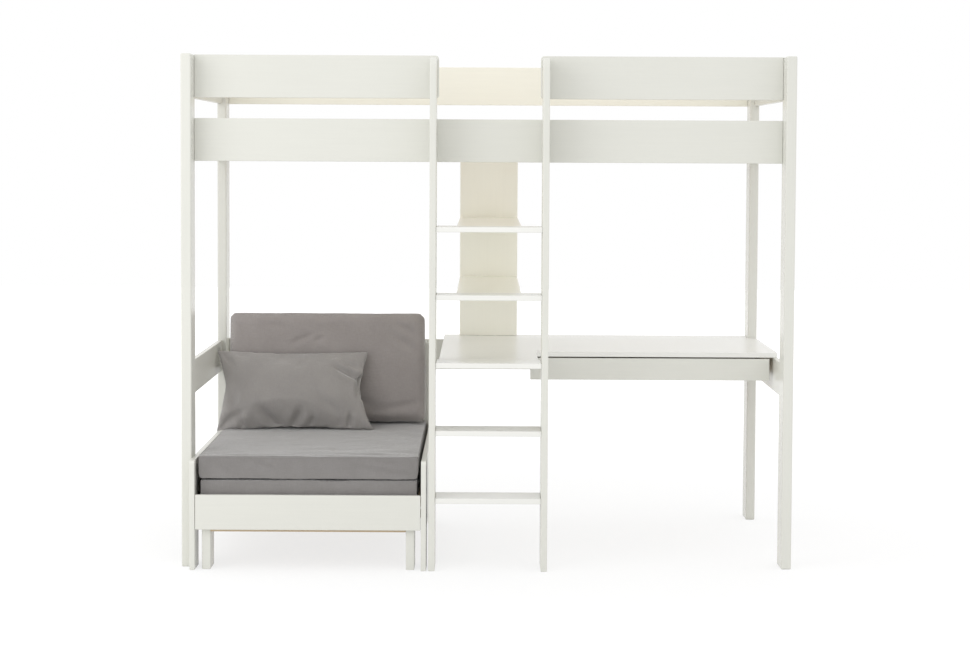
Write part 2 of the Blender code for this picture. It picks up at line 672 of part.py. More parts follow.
def main():
    clear_scene()
    materials = make_materials()
    paint, wood, ply = (materials[name] for name in ("white_paint", "bare_wood", "drawer_ply"))
    build_posts(paint)
    build_rails(paint)
    build_bed_base(wood)
    build_ladder(paint)
    build_desk(paint)
    build_bookshelf(paint)
    build_drawer(paint, ply)
    build_sofa_frame(paint)
    build_decks(wood)
    build_pull_out(paint, wood)
    build_soft_pieces(materials)


main()
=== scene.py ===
"""Looks of a white loft bed with a ladder, a desk, a narrow bookshelf and a pull-out sofa bed.

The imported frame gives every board. This file gives the boards their paint and grain, makes the soft
pieces of the sofa and the small fasteners, and sets up the floor, the lamps and the camera.
"""

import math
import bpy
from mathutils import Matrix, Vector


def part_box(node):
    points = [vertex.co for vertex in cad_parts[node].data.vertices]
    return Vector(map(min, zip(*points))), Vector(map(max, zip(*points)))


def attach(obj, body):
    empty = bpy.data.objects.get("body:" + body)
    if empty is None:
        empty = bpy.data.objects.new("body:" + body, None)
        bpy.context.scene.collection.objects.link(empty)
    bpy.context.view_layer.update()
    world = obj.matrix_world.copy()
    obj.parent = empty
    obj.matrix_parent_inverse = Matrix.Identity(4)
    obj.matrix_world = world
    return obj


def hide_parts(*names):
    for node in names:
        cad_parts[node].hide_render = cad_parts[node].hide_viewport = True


bl_info = {
    "name": "Loft Bed Looks",
    "version": (1, 0, 0),
    "blender": (4, 5, 0),
    "location": "3D View > Sidebar > Loft Bed",
    "description": "Paint, wood, fabric, fasteners and stage for a loft bed with a sofa and a desk",
    "category": "Object",
}

from itertools import product

import bmesh
import bpy
from bpy.props import FloatProperty, FloatVectorProperty, IntProperty, PointerProperty
from mathutils import Matrix, Vector, noise

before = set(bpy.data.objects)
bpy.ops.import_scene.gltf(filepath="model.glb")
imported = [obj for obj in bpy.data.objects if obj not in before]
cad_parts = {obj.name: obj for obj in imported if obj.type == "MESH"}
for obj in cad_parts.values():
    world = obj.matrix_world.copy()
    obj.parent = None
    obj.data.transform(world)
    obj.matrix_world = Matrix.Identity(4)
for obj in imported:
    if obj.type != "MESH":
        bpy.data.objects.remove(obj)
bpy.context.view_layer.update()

AXES = "XYZ"

# The boards of each finish, by the axis that their grain runs along.
PAINTED = {
    "X": (
        "side_rail_front", "side_rail_back", "guard_front_left", "guard_front_right", "lower_rail_back",
        "drawer_front", "sofa_back_board", "pull_out_front_rail",
    ),
    "Y": (
        "end_rail_left", "end_rail_right", "guard_left", "guard_right", "lower_rail_left",
        "lower_rail_right", "sofa_side_left", "sofa_side_right",
    ),
    "Z": (
        "post_front_left", "post_front_right", "post_back_left", "post_back_right",
        "ladder_stile_left", "ladder_stile_right", "pull_out_leg_left", "pull_out_leg_right",
    ),
}
# These boards take a lighter, warmer copy of the paint: painted light that stands in for the warm light
# reflected onto them at the back and inside, lifting them out of their shade.
SHADE_LIFTED_PAINTED = {
    "X": ("guard_back",),
    "Y": ("shelf_lower", "shelf_upper"),
    "Z": ("shelf_back_panel",),
}
BED_SLATS = tuple(f"bed_slat_{number:02d}" for number in range(1, 11))
BARE_WOOD = {
    "X": ("slat_cleat_front", "slat_cleat_back", "pull_out_stretcher"),
    "Y": (*BED_SLATS, "sofa_slat_deck", "pull_out_slat_deck"),
}
# The drawer's boards, each with the axis that its plies are stacked along.
PLYWOOD = {
    "X": ("drawer_side_left", "drawer_side_right", "drawer_runner_left", "drawer_runner_right"),
    "Y": ("drawer_back",),
    "Z": ("drawer_bottom",),
}
TREADS = ("tread_1", "tread_2", "tread_3", "tread_4", "tread_5")

# Turned heads, from the foot inwards: each ring's radius and height as shares of the head's own.
BOLT_HEAD = ((1, 0), (1, 0.5), (0.92, 1), (0.62, 1))
CAP_HEAD = ((1, 0), (1, 0.45), (0.86, 0.85), (0.45, 1))
HEAD_SIDES = 24
# A hex socket's radius as a share of its head's, and the height of its floor as a share of the head's.
SOCKET_RADIUS = 0.40
SOCKET_FLOOR = 0.15
SHARP_ANGLE = math.radians(35)
SCREW_PROUD = 0.0004
# Where a rail's two bolts sit over its height, and two caps or screws across a board, as shares of it.
BOLT_PAIR = (0.2, 0.8)
CAP_PAIR = SCREW_PAIR = (0.25, 0.75)
# The heights of the caps over the sofa's back board, and how far those over its deck lie in and up from it.
BOARD_CAP_HEIGHTS = (0.17, 0.26, 0.35)
DECK_CAP_IN, DECK_CAP_UP = 0.011, 0.0135
# How far the screws lie in from the front and the back end of a bed slat.
SCREW_FRONT, SCREW_BACK = 0.013, 0.012

CELL_CORNERS = ((0, 0), (1, 0), (1, 1), (0, 1))
# The lines of a cover's grid nearest to the end of a side, in metres from that end.
EDGE_CELLS = (0.0, 0.004, 0.009)
# The cells between them, before a cover is subdivided.
MATTRESS_CELL, CUSHION_CELL, PILLOW_CELL = 0.014, 0.0115, 0.009
# The larger, the flatter a mattress layer is inside its rim, and the nearer to its ends its corners round.
CROWN_POWER, CORNER_POWER = 7, 20
# How round the back cushion's cover is cut, and how much smaller in width, height and thickness.
CUSHION_CUT_ROUND = 0.012
CUSHION_CUT = (0.012, 0.012, 0.036)
# How many times wider and higher than the filled pillow its two sheets are cut, and how far each is lifted.
PILLOW_CUT = (1.04, 1.06)
SHEET_LIFT = 0.012
# The weight of the group Seam from which a cover rises to its sewn edge, with a groove below that.
SEAM_START = 0.55
# How much of a fold is there at its two ends, in half turns of a sine.
FOLD_END = 0.12
# How many half widths away a fold ends, and the lip beside it: its share of the depth, and its distance.
FOLD_REACH = 3
FOLD_LIP, FOLD_LIP_PLACE = 0.22, 1.7

# Folds of the covers, in metres from the middle of their fronts. Each has its start x and y, its end x
# and y, its half width and its depth.
PILLOW_FOLDS = (
    (0.276, 0.034, 0.170, 0.084, 0.014, 0.0190),
    (0.268, 0.048, 0.262, -0.040, 0.012, 0.0120),
    (0.262, 0.080, 0.206, 0.108, 0.012, 0.0090),
    (-0.184, -0.158, -0.206, -0.116, 0.012, 0.0110),
    (-0.050, -0.158, -0.128, -0.092, 0.017, 0.0150),
    (-0.008, -0.158, 0.030, -0.102, 0.015, 0.0120),
    (0.060, -0.154, 0.078, -0.120, 0.012, 0.0080),
    (0.098, -0.050, 0.186, -0.118, 0.024, 0.0090),
    (0.205, -0.158, 0.224, -0.112, 0.012, 0.0095),
    (-0.284, -0.154, -0.190, -0.098, 0.017, 0.0130),
    (-0.210, -0.110, -0.236, -0.020, 0.019, 0.0090),
    (-0.272, 0.152, -0.226, 0.080, 0.016, 0.0105),
)
# Where the pillow's corners lie about its middle: bottom left, bottom right, top left, top right.
PILLOW_CORNERS = ((-0.293, -0.160), (0.298, -0.155), (-0.303, 0.161), (0.272, 0.158))
# How far the pillow's left and right sides are drawn in midway.
PILLOW_WAIST = (0.006, 0.016)
# The ear that hangs over the mattress's edge: the x and y that it starts from, its width and its drop.
PILLOW_EAR = (-0.256, -0.100, 0.038, 0.010)
# How far the tip of that ear lies below the seat: a little less than its drop, so the rest stays clear.
PILLOW_TIP_BELOW = 0.0085
CUSHION_FOLDS = (
    (-0.140, 0.088, -0.062, 0.122, 0.012, 0.0050),
    (-0.052, 0.098, -0.010, 0.114, 0.010, 0.0036),
    (0.268, 0.170, 0.350, 0.122, 0.013, 0.0052),
    (0.246, 0.122, 0.344, 0.066, 0.015, 0.0048),
    (0.180, -0.166, 0.352, -0.134, 0.014, 0.0050),
    (-0.250, 0.172, -0.150, 0.148, 0.015, 0.0036),
    (0.090, -0.120, 0.200, -0.150, 0.016, 0.0036),
)
SEAT_FOLDS = (
    (0.020, -0.452, 0.340, -0.460, 0.012, 0.0030),
    (0.090, -0.420, 0.360, -0.436, 0.018, 0.0030),
    (-0.320, -0.455, -0.060, -0.448, 0.011, 0.0024),
    (0.180, -0.360, 0.370, -0.400, 0.026, 0.0032),
    (-0.365, -0.430, -0.240, -0.390, 0.020, 0.0026),
    (-0.040, -0.330, 0.260, -0.300, 0.034, 0.0030),
)
# The folds of the upper layer's upright front, with the height in place of y.
SEAT_FRONT_FOLDS = (
    (-0.205, 0.026, -0.126, -0.008, 0.011, 0.0052),
    (0.160, -0.002, 0.345, -0.026, 0.011, 0.0052),
    (0.230, 0.020, 0.340, 0.004, 0.010, 0.0036),
    (-0.330, 0.012, -0.270, -0.022, 0.012, 0.0036),
)
# How deep the strip behind the front edge is that takes the front's folds.
SEAT_FRONT = 0.003

# The stage. The floor is white to the camera further out, from the first of its two distances to the second.
FLOOR_REACH = 14
FLOOR_FADE = (1.6, 5.0)
KEY_LAMP_PLACE = (-3.0, -3.0, 2.4)
KEY_LAMP_SIZE = 3.0
FRONT_LAMP_PLACE = (-1.6, -6.0, 2.6)
FRONT_LAMP_ANGLE = math.radians(40)
FRONT_LAMP_TINT = (1.0, 0.985, 0.955)
LAMP_AIM = (0, 0, 0.8)
SENSOR_WIDTH = 36
CAMERA_RANGE = (0.1, 60)
# What a wave texture counts as one metre at a scale of 1.
WAVE_RADIANS = 20
# How far the weave is turned about each axis, in degrees, so that its threads don't line up with the boards.
WEAVE_TURN = (1.5, -1.0, 0.8)


def tint(name, description, default):
    """A colour that can be set."""
    return FloatVectorProperty(
        name=name, description=description, subtype="COLOR", size=3, min=0, max=1, default=default,
    )


def number(name, description, low, high, default, unit="NONE", precision=2):
    """A number that can be set between low and high."""
    return FloatProperty(
        name=name, description=description, min=low, max=high, default=default,
        unit=unit, precision=precision,
    )


def length(name, description, low, high, default, precision=4):
    """A length in metres that can be set between low and high."""
    return number(name, description, low, high, default, "LENGTH", precision)


def angle(name, description, degrees, **limits):
    """An angle that can be set. Its limits are in radians."""
    return FloatProperty(
        name=name, description=description, subtype="ANGLE", unit="ROTATION",
        default=math.radians(degrees), **limits,
    )


class PaintLook(bpy.types.PropertyGroup):
    colour: tint("Paint", "Colour of the painted boards", (0.738, 0.738, 0.686))
    # A lighter, warmer copy of the paint for the boards at the back and inside: painted light that stands in
    # for the warm light reflected onto them in their shade.
    shade_lift_colour: tint(
        "Shade Lift Paint", "Colour of the creamier boards at the back and inside", (0.955, 0.944, 0.852),
    )
    # A lighter copy of the paint for the treads and the desktop: a painted highlight for the light that
    # falls on their tops.
    tread_highlight_colour: tint("Tread Highlight Paint", "Colour of the treads and the desktop", (0.850, 0.848, 0.815))
    patch: number("Patchiness", "How much darker the darker patches of the paint are", 0, 0.3, 0.03)
    roughness: number("Roughness", "Roughness of the satin paint", 0, 1, 0.27)
    grain_depth: length(
        "Grain Depth", "How deep the wood grain shows through the paint", 0, 0.001, 0.00001, precision=5,
    )
    peel_depth: length(
        "Peel Depth", "How deep the sprayed paint's fine ripple is", 0, 0.001, 0.00003, precision=5,
    )


class WoodLook(bpy.types.PropertyGroup):
    pale: tint("Early Wood", "Colour of the pale part of each growth ring", (0.66, 0.53, 0.37))
    dark: tint("Late Wood", "Colour of the dark part of each growth ring", (0.50, 0.36, 0.22))
    ply_pale: tint("Face Ply", "Colour of the long-grain plies", (0.70, 0.57, 0.42))
    ply_dark: tint("Cross Ply", "Colour of the end-grain plies", (0.44, 0.31, 0.20))
    ply_thickness: length(
        "Ply Thickness", "Thickness of one ply of the drawer boards", 0.0005, 0.004, 0.0015,
    )
    roughness: number("Roughness", "Roughness of the sanded wood", 0, 1, 0.58)


class FabricLook(bpy.types.PropertyGroup):
    seat_colour: tint("Mattress", "Colour of the sofa mattress cover", (0.262, 0.250, 0.244))
    cushion_colour: tint("Back Cushion", "Colour of the back cushion cover", (0.340, 0.313, 0.303))
    pillow_colour: tint("Pillow", "Colour of the throw pillow cover", (0.332, 0.316, 0.306))
    thread: length(
        "Thread Spacing", "Distance from one thread of the weave to the next", 0.0005, 0.004, 0.0012,
    )
    weave_depth: length(
        "Weave Depth", "Height of the threads over the gaps between them", 0, 0.001, 0.00018, precision=5,
    )
    seam_height: length("Seam Height", "How far the sewn edge stands out of the cover", 0, 0.005, 0.0016)
    seam_groove: length(
        "Seam Groove", "How deep the cover is drawn in beside its sewn edge", 0, 0.005, 0.0016,
    )
    # The lighter sewn edge is a painted highlight, where the edge catches the light.
    seam_highlight: number(
        "Seam Highlight", "How many times lighter the cover is on its sewn edge", 1, 3, 1.45,
    )


class SoftSizes(bpy.types.PropertyGroup):
    mattress_round: length("Mattress Rounding", "Radius of the seat's upper edges", 0.002, 0.04, 0.005)
    fold_round: length(
        "Fold Rounding", "Radius of the edges where the two mattress layers meet", 0.001, 0.04, 0.0015,
    )
    lower_setback: length(
        "Lower Layer Setback", "How far the lower layer's front lies behind the upper one's",
        0, 0.02, 0.004,
    )
    mattress_crown: length("Mattress Crown", "How far each large face of a layer swells", 0, 0.02, 0.002)
    corner_round: length(
        "Corner Rounding", "Radius of the upper layer's lower corners, seen from the front",
        0.002, 0.04, 0.017,
    )
    cushion_width: length("Cushion Width", "Width of the back cushion at its middle", 0.4, 1.0, 0.757)
    cushion_height: length(
        "Cushion Height", "Height of the back cushion along its slope", 0.2, 0.6, 0.415,
    )
    cushion_thickness: length(
        "Cushion Thickness", "Thickness of the back cushion at its middle", 0.04, 0.2, 0.120,
    )
    cushion_lean: angle("Cushion Lean", "How far the back cushion leans back", 6, min=0, max=0.8)
    cushion_cap: length(
        "Cushion Swell", "The most that the cover may move as it fills out", 0, 0.04, 0.018,
    )
    cushion_corner: length(
        "Cushion Corner", "Radius of the corners of the back cushion's outline", 0.001, 0.1, 0.022,
    )
    cushion_barrel: number(
        "Cushion Barrel", "How much narrower the back cushion is at its top and bottom", 0, 0.2, 0.020,
    )
    cushion_slide: length(
        "Cushion Slide", "How far the back cushion's top has slid to the left", 0, 0.05, 0.006,
    )
    pillow_width: length("Pillow Width", "Width of the filled pillow", 0.3, 0.8, 0.588)
    pillow_height: length("Pillow Height", "Height of the filled pillow along its slope", 0.2, 0.6, 0.318)
    pillow_thickness: length(
        "Pillow Thickness", "Thickness of the filled pillow at its middle", 0.04, 0.25, 0.130,
    )
    pillow_sag: number("Pillow Sag", "How much thicker the pillow is below its middle", 0, 0.6, 0.28)
    pillow_lean: angle("Pillow Lean", "How far the pillow leans back", 29, min=0, max=1)
    filling_frames: IntProperty(
        name="Filling Frames", description="Frames of simulation that fill out a cover",
        min=2, max=60, default=20,
    )


class FastenerSizes(bpy.types.PropertyGroup):
    bolt_radius: length("Bolt Radius", "Radius of the bolt heads on the posts", 0.002, 0.012, 0.0065)
    bolt_proud: length(
        "Bolt Height", "How far a bolt head stands out of the post", 0.00001, 0.002, 0.00005, precision=5,
    )
    cap_radius: length(
        "Cap Radius", "Radius of the caps over the ladder and sofa screws", 0.002, 0.012, 0.006,
    )
    cap_proud: length("Cap Height", "How far a cap stands out of its board", 0.0001, 0.002, 0.0010)
    screw_radius: length(
        "Screw Radius", "Radius of the screw heads in the bed slats", 0.002, 0.008, 0.004,
    )


class StageLook(bpy.types.PropertyGroup):
    floor_colour: tint("Floor", "Colour of the floor", (0.80, 0.80, 0.79))
    floor_glow: number(
        "Floor Lift", "Share of the floor's brightness that doesn't depend on the lamps", 0, 1, 0.76,
    )
    ambient: number("Ambient", "Strength of the even light from all round", 0, 2, 1.06)
    key_power: number("Key Power", "Power of the large lamp at the upper left", 0, 2000, 34, unit="POWER")
    front_strength: number(
        "Front Strength", "Strength of the even, soft light from the front", 0, 10, 0.03,
    )
    camera_place: FloatVectorProperty(
        name="Camera Place", description="Where the camera stands", subtype="TRANSLATION",
        unit="LENGTH", size=3, default=(-0.0095, -7.4723, 1.4325),
    )
    camera_tilt: angle("Camera Tilt", "How far the camera looks down", 3.0)
    camera_roll: angle("Camera Roll", "How far the camera is tipped to one side", -0.286)
    lens: number("Lens", "Focal length on a sensor 36 mm wide", 10, 300, 75.63, unit="CAMERA")
    shift_x: FloatProperty(name="Shift X", description="Sideways shift of the lens", default=-0.0007)
    shift_y: FloatProperty(name="Shift Y", description="Upward shift of the lens", default=-0.0658)


class LoftBedLook(bpy.types.PropertyGroup):
    paint: PointerProperty(type=PaintLook, name="Paint", description="Finish of the painted boards")
    wood: PointerProperty(type=WoodLook, name="Wood", description="Finish of the bare wood and the plywood")
    fabric: PointerProperty(type=FabricLook, name="Fabric", description="Finish of the soft covers")
    soft: PointerProperty(type=SoftSizes, name="Soft Pieces", description="Sizes of the soft pieces")
    fasteners: PointerProperty(type=FastenerSizes, name="Fasteners", description="Sizes of the fasteners")
    stage: PointerProperty(type=StageLook, name="Stage", description="Floor, lamps and camera")


# Materials


def put(tree, kind, settings=None, inputs=None):
    """Adds a node. A value for a socket is set on it, and another node's output is linked to it."""
    node = tree.nodes.new(kind)
    for name, value in (settings or {}).items():
        setattr(node, name, value)
    connect(node, inputs or {})
    return node


def connect(node, inputs):
    for name, value in inputs.items():
        if isinstance(value, bpy.types.NodeSocket):
            node.id_data.links.new(value, node.inputs[name])
        else:
            node.inputs[name].default_value = value


def new_material(name):
    """A material, its shader, and the output that gives a place on the piece in metres."""
    material = bpy.data.materials.new(name)
    material.use_nodes = True
    tree = material.node_tree
    return material, tree.nodes["Principled BSDF"], put(tree, "ShaderNodeTexCoord").outputs["Object"]


def stretched(place, scale):
    inputs = {"Vector": place, "Scale": scale}
    return put(place.id_data, "ShaderNodeMapping", {"vector_type": "POINT"}, inputs).outputs["Vector"]


def mottle(place, scale, detail, roughness=0.5):
    """A noise from 0 to 1."""
    inputs = {"Vector": place, "Scale": scale, "Detail": detail, "Roughness": roughness}
    return put(place.id_data, "ShaderNodeTexNoise", None, inputs).outputs["Fac"]


def drawn_out(place, scales, detail, roughness=0.5):
    """A noise with a scale of its own along each axis, such as grain and threads have."""
    return mottle(stretched(place, scales), 1.0, detail, roughness)


def banded(place, axis, period, distortion, detail):
    """Even bands stacked along one axis, with their distance in metres."""
    scale = 2 * math.pi / (WAVE_RADIANS * period)
    return put(
        place.id_data, "ShaderNodeTexWave", {"wave_type": "BANDS", "bands_direction": axis},
        {"Vector": place, "Scale": scale, "Distortion": distortion, "Detail": detail},
    ).outputs["Fac"]


def ranged(value, low, high, start=0.3, stop=0.7):
    """Spreads the part of a value from start to stop over low to high."""
    inputs = {"Value": value, "From Min": start, "From Max": stop, "To Min": low, "To Max": high}
    return put(value.id_data, "ShaderNodeMapRange", None, inputs).outputs["Result"]


def mixed(factor, first, second):
    inputs = {0: factor, 6: first, 7: second}
    return put(factor.id_data, "ShaderNodeMix", {"data_type": "RGBA"}, inputs).outputs[2]


def worked_out(operation, first, second):
    inputs = {0: first, 1: second}
    return put(first.id_data, "ShaderNodeMath", {"operation": operation}, inputs).outputs[0]


def summed(first, *others):
    for other in others:
        first = worked_out("ADD", first, other)
    return first


def bumped(height, distance, under=None):
    inputs = {"Height": height, "Distance": distance, "Strength": 1.0}
    if under:
        inputs["Normal"] = under
    return put(height.id_data, "ShaderNodeBump", None, inputs).outputs["Normal"]


def grain_scales(along, length_wise, cross_wise):
    return tuple(length_wise if axis == along else cross_wise for axis in AXES)


def rgba(colour):
    return (*colour, 1.0)


def shaded(colour, times):
    """A colour made that many times as light."""
    return rgba([min(1.0, part * times) for part in colour])


def satin_paint(name, along, colour, look):
    """Sprayed satin paint on boards whose grain runs along one axis and shows faintly through it."""
    material, shader, place = new_material(name)
    patches = mottle(place, scale=2.2, detail=2.0)
    grain = drawn_out(place, grain_scales(along, 5, 160), detail=5.0, roughness=0.62)
    peel = mottle(place, scale=650.0, detail=2.0)
    cloud = ranged(summed(patches, grain), 0.0, 1.0, start=0.7, stop=1.3)
    connect(shader, {
        "Base Color": mixed(cloud, rgba(colour), shaded(colour, 1 - look.patch)),
        "Roughness": look.roughness,
        "Normal": bumped(peel, look.peel_depth, bumped(grain, look.grain_depth)),
        "Specular IOR Level": 0.45,
    })
    return material


def sanded_wood(name, along, look):
    """Bare softwood: growth rings drawn out along the grain, fine fibres and a few darker streaks."""
    material, shader, place = new_material(name)
    trunk = stretched(place, grain_scales(along, 0.9, 14))
    rings = put(
        material.node_tree, "ShaderNodeTexWave",
        {"wave_type": "RINGS", "rings_direction": along, "wave_profile": "SAW"},
        {"Vector": trunk, "Scale": 1.6, "Distortion": 5.0, "Detail": 3.0, "Detail Scale": 1.2},
    ).outputs["Fac"]
    fibres = drawn_out(place, grain_scales(along, 18, 520), detail=4.0, roughness=0.6)
    streaks = drawn_out(place, grain_scales(along, 1.4, 30), detail=2.0)
    ringed = ranged(rings, 0.0, 0.45, start=0.2, stop=1.0)
    tone = summed(ringed, ranged(fibres, -0.12, 0.22), ranged(streaks, -0.08, 0.20))
    connect(shader, {
        "Base Color": mixed(tone, rgba(look.pale), rgba(look.dark)),
        "Roughness": ranged(fibres, look.roughness - 0.08, look.roughness + 0.10),
        "Normal": bumped(fibres, 0.00018, bumped(rings, 0.00012)),
        "Specular IOR Level": 0.35,
    })
    return material


def drawer_plywood(name, stacked, look):
    """Plywood: its plies show as bands on the edges, and its face grain runs across the stack."""
    material, shader, place = new_material(name)
    along = "Y" if stacked == "X" else "X"
    fibres = drawn_out(place, grain_scales(along, 12, 380), detail=4.0, roughness=0.6)
    flames = drawn_out(place, grain_scales(along, 2.0, 26), detail=3.0)
    plies = banded(place, stacked, 2 * look.ply_thickness, distortion=0.15, detail=2.0)
    tone = summed(ranged(plies, 0.0, 0.42), ranged(fibres, -0.10, 0.16), ranged(flames, 0.0, 0.22))
    connect(shader, {
        "Base Color": mixed(tone, rgba(look.ply_pale), rgba(look.ply_dark)),
        "Roughness": ranged(fibres, look.roughness - 0.06, look.roughness + 0.10),
        "Normal": bumped(fibres, 0.00012),
        "Specular IOR Level": 0.35,
    })
    return material


def woven_cover(name, colour, look):
    """A plain weave in three directions at once, so that it shows on every side of a cover."""
    material, shader, place = new_material(name)
    turn = [math.radians(degrees) for degrees in WEAVE_TURN]
    inputs = {"Vector": place, "Rotation": turn}
    wander = put(material.node_tree, "ShaderNodeMapping", None, inputs).outputs["Vector"]
    weave = summed(*(banded(wander, axis, look.thread, distortion=0.4, detail=1.0) for axis in AXES))
    slubs = summed(*(drawn_out(place, scales, detail=2.0) for scales in ((60, 900, 900), (900, 60, 60))))
    clouds = mottle(place, scale=9.0, detail=5.0, roughness=0.62)
    folds = mottle(place, scale=14.0, detail=3.0)
    slubbed = ranged(slubs, -0.22, 0.22, start=0.75, stop=1.25)
    tone = summed(slubbed, ranged(clouds, 0.3, 0.7))
    rough = bumped(folds, 0.0045)
    seam = put(material.node_tree, "ShaderNodeAttribute", {"attribute_name": "seam"}).outputs["Fac"]
    cloth = mixed(tone, shaded(colour, 0.88), shaded(colour, 1.13))
    # The sewn edge is made lighter: a painted highlight where the edge catches the light.
    sewn = ranged(seam, 0.0, 1.0, start=0.6, stop=1.0)
    connect(shader, {
        "Base Color": mixed(sewn, cloth, shaded(colour, look.seam_highlight)),
        "Roughness": ranged(slubs, 0.84, 0.98, start=0.7, stop=1.3),
        "Normal": bumped(weave, look.weave_depth, bumped(slubs, 0.0001, rough)),
        "Sheen Weight": 1.0,
        "Sheen Roughness": 0.32,
        "Specular IOR Level": 0.20,
    })
    return material


def plated_steel(name):
    material, shader, place = new_material(name)
    scratches = drawn_out(place, (400, 400, 2500), detail=3.0)
    connect(shader, {
        "Base Color": mixed(scratches, (0.62, 0.62, 0.60, 1), (0.74, 0.74, 0.72, 1)),
        "Metallic": 1.0,
        "Roughness": ranged(scratches, 0.26, 0.44),
        "Normal": bumped(scratches, 0.00004),
    })
    return material


def cap_plastic(name, look):
    material, shader, place = new_material(name)
    texture = mottle(place, scale=1400.0, detail=2.0)
    connect(shader, {
        "Base Color": mixed(texture, rgba(look.colour), shaded(look.colour, 1 - look.patch)),
        "Roughness": ranged(texture, 0.30, 0.40),
        "Normal": bumped(texture, 0.00003),
    })
    return material


def seen_directly(tree):
    """1 where a ray comes from the camera, a mirror-like surface or through glass, and otherwise 0."""
    paths = put(tree, "ShaderNodeLightPath").outputs
    views = worked_out("MAXIMUM", paths["Is Camera Ray"], paths["Is Glossy Ray"])
    return worked_out("MAXIMUM", views, paths["Is Transmission Ray"])


def dress(nodes, material):
    for name in nodes:
        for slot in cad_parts[name].material_slots:
            slot.material = material


# Meshes


def new_piece(name, shape, material):
    bmesh.ops.recalc_face_normals(shape, faces=shape.faces)
    mesh = bpy.data.meshes.new(name)
    shape.to_mesh(mesh)
    shape.free()
    piece = bpy.data.objects.new(name, mesh)
    mesh.materials.append(material)
    mesh.shade_smooth()
    bpy.context.scene.collection.objects.link(piece)
    return piece


def turned(shape, rings, centre, facing):
    """Adds a turned head to a bmesh. Each ring has a (radius, height) for every side of the head."""
    turn = Vector((0, 0, 1)).rotation_difference(Vector(facing)).to_matrix()
    made = []
    for ring in rings:
        loop = []
        for side, (radius, height) in enumerate(ring):
            bearing = 2 * math.pi * side / HEAD_SIDES
            point = Vector((radius * math.cos(bearing), radius * math.sin(bearing), height))
            loop.append(shape.verts.new(Vector(centre) + turn @ point))
        made.append(loop)
    for outer, inner in zip(made, made[1:]):
        for side in range(HEAD_SIDES):
            following = (side + 1) % HEAD_SIDES
            shape.faces.new((outer[side], outer[following], inner[following], inner[side]))
    shape.faces.new(made[-1])
    shape.faces.new(list(reversed(made[0])))


def socket_rings(radius, height):
    """The rim and the floor of a hex socket in a head."""
    hexagon = []
    for side in range(HEAD_SIDES):
        off_middle = (2 * math.pi * side / HEAD_SIDES + math.pi / 6) % (math.pi / 3) - math.pi / 6
        hexagon.append(radius * SOCKET_RADIUS / math.cos(off_middle))
    return [[(reach, level) for reach in hexagon] for level in (height, height * SOCKET_FLOOR)]


def head_set(name, head, radius, height, places, material, socket=False):
    """One piece with a head at each (centre, facing)."""
    rings = [[(radius * out, height * up)] * HEAD_SIDES for out, up in head]
    if socket:
        rings += socket_rings(radius, height)
    shape = bmesh.new()
    for centre, facing in places:
        turned(shape, rings, centre, facing)
    piece = new_piece(name, shape, material)
    piece.data.set_sharp_from_angle(angle=SHARP_ANGLE)
    return piece


def grid_lines(span, cell):
    """Places along a side from its middle, even inside and closer together at both ends."""
    *edges, start = EDGE_CELLS
    inside = span - 2 * start
    count = max(2, round(inside / cell))
    even = (start + inside * step / count for step in range(count + 1))
    return [place - span / 2 for place in (*edges, *even, *(span - edge for edge in reversed(edges)))]


def cover_grid(name, size, radii, cell, material, seams):
    """A box-shaped cover about the origin, rounded by one radius below and by another above.

    Its sewn lines are in the group Seam. They run round its sides, and are counted upwards from the lower
    face, or downwards from -1 at the upper one.
    """
    lines = [grid_lines(span, cell) for span in size]
    counts = [len(line) - 1 for line in lines]
    half = Vector(size) / 2
    shape = bmesh.new()
    groups = shape.verts.layers.deform.verify()
    made = {}

    def corner(*index):
        if index not in made:
            place = Vector(lines[i][index[i]] for i in range(3))
            radius = radii[1] if place.z > 0 else radii[0]
            inner = Vector(min(max(place[i], radius - half[i]), half[i] - radius) for i in range(3))
            away = place - inner
            if away.length:
                place = inner + away.normalized() * min(radius, away.length)
            vert = shape.verts.new(place)
            sides = index[0] in (0, counts[0]) or index[1] in (0, counts[1])
            sewn = sides and (index[2] in seams or index[2] - counts[2] - 1 in seams)
            vert[groups][0] = 1.0 if sewn else 0.0
            made[index] = vert
        return made[index]

    for axis in (2, 1, 0):
        a_count, b_count = (counts[i] for i in range(3) if i != axis)
        for end, a, b in product((0, counts[axis]), range(a_count), range(b_count)):
            ring = [(a + i, b + j) for i, j in CELL_CORNERS]
            shape.faces.new([corner(*place[:axis], end, *place[axis:]) for place in ring])
    piece = new_piece(name, shape, material)
    piece.vertex_groups.new(name="Seam")
    return piece


def envelope_grid(name, width, height, cell, material):
    """Two flat sheets sewn together along their rims, just apart in the middle."""
    nx, ny = round(width / cell), round(height / cell)
    shape = bmesh.new()
    groups = shape.verts.layers.deform.verify()
    made = {}

    def corner(i, j, side):
        rim = i in (0, nx) or j in (0, ny)
        key = (i, j, 0 if rim else side)
        if key not in made:
            u, v = 2 * i / nx - 1, 2 * j / ny - 1
            lift = 0 if rim else side * SHEET_LIFT * (1 - u * u) * (1 - v * v)
            made[key] = shape.verts.new((width / 2 * u, height / 2 * v, lift))
            made[key][groups][0] = 1.0 if rim else 0.0
        return made[key]

    for a, b, side in product(range(nx), range(ny), (1, -1)):
        ring = [corner(a + i, b + j, side) for i, j in CELL_CORNERS]
        shape.faces.new(ring if side > 0 else reversed(ring))
    piece = new_piece(name, shape, material)
    piece.vertex_groups.new(name="Seam")
    return piece


